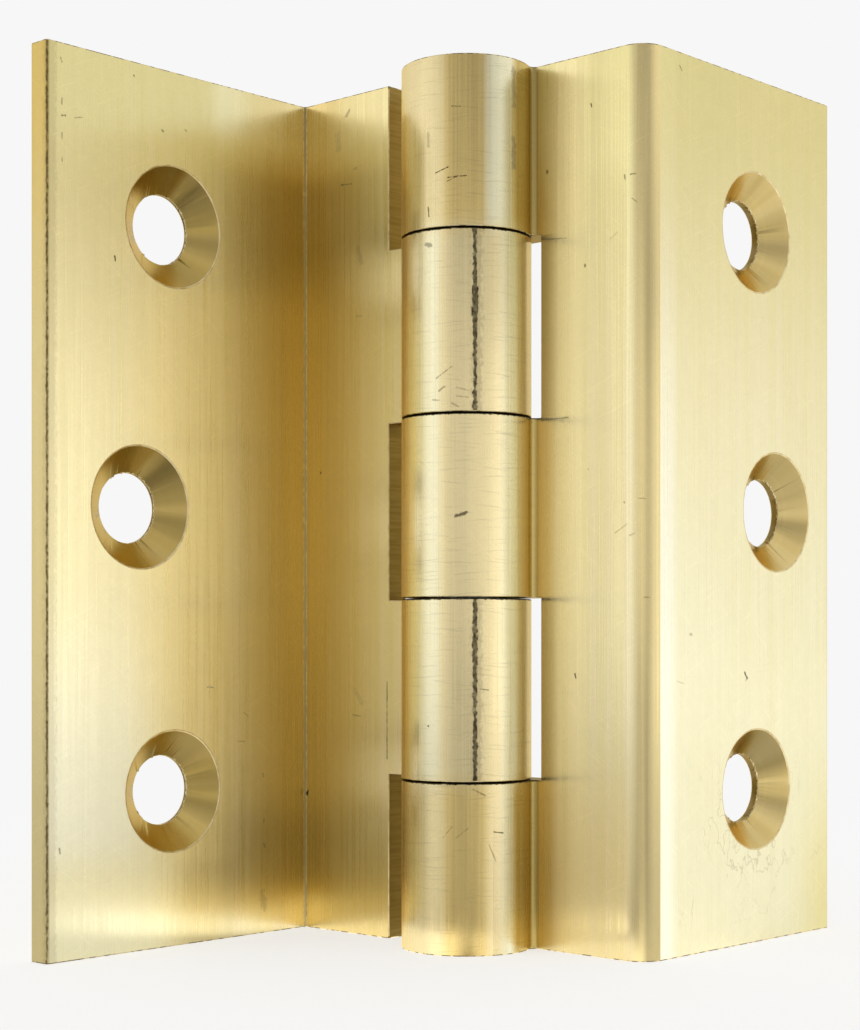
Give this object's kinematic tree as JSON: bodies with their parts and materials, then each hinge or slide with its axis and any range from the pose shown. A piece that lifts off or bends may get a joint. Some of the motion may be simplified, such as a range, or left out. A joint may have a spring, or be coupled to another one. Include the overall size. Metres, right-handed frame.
{
  "type": "cranked butt hinge",
  "caption": "Solid brass cranked butt hinge with L-shaped leaves that nest when shut, countersunk screw holes and a fixed pin.",
  "frame": {"origin": "middle of the footprint of the opened-flat hinge, on its standing end", "axes": "+Z along the pin, +X from the outer leaf's step to the inner leaf's step, +Y towards the backs of the steps"},
  "size_m": [0.0322, 0.052, 0.064],
  "materials": {
    "satin_brass": "satin, drawn along the pin, lightly marked",
    "pin_steel": "plain drawn"
  },
  "bodies": {
    "fixed_leaf": {"inner_leaf": "satin_brass", "hinge_pin": "pin_steel"},
    "swinging_leaf": {"outer_leaf": "satin_brass"}
  },
  "joints": [
    {"name": "pin_swing", "type": "hinge", "parent": "fixed_leaf", "child": "swinging_leaf", "pos_m": [0.0017, -0.00025, 0.032], "axis": [0, 0, 1], "range_deg": [-120, 180]}
  ]
}
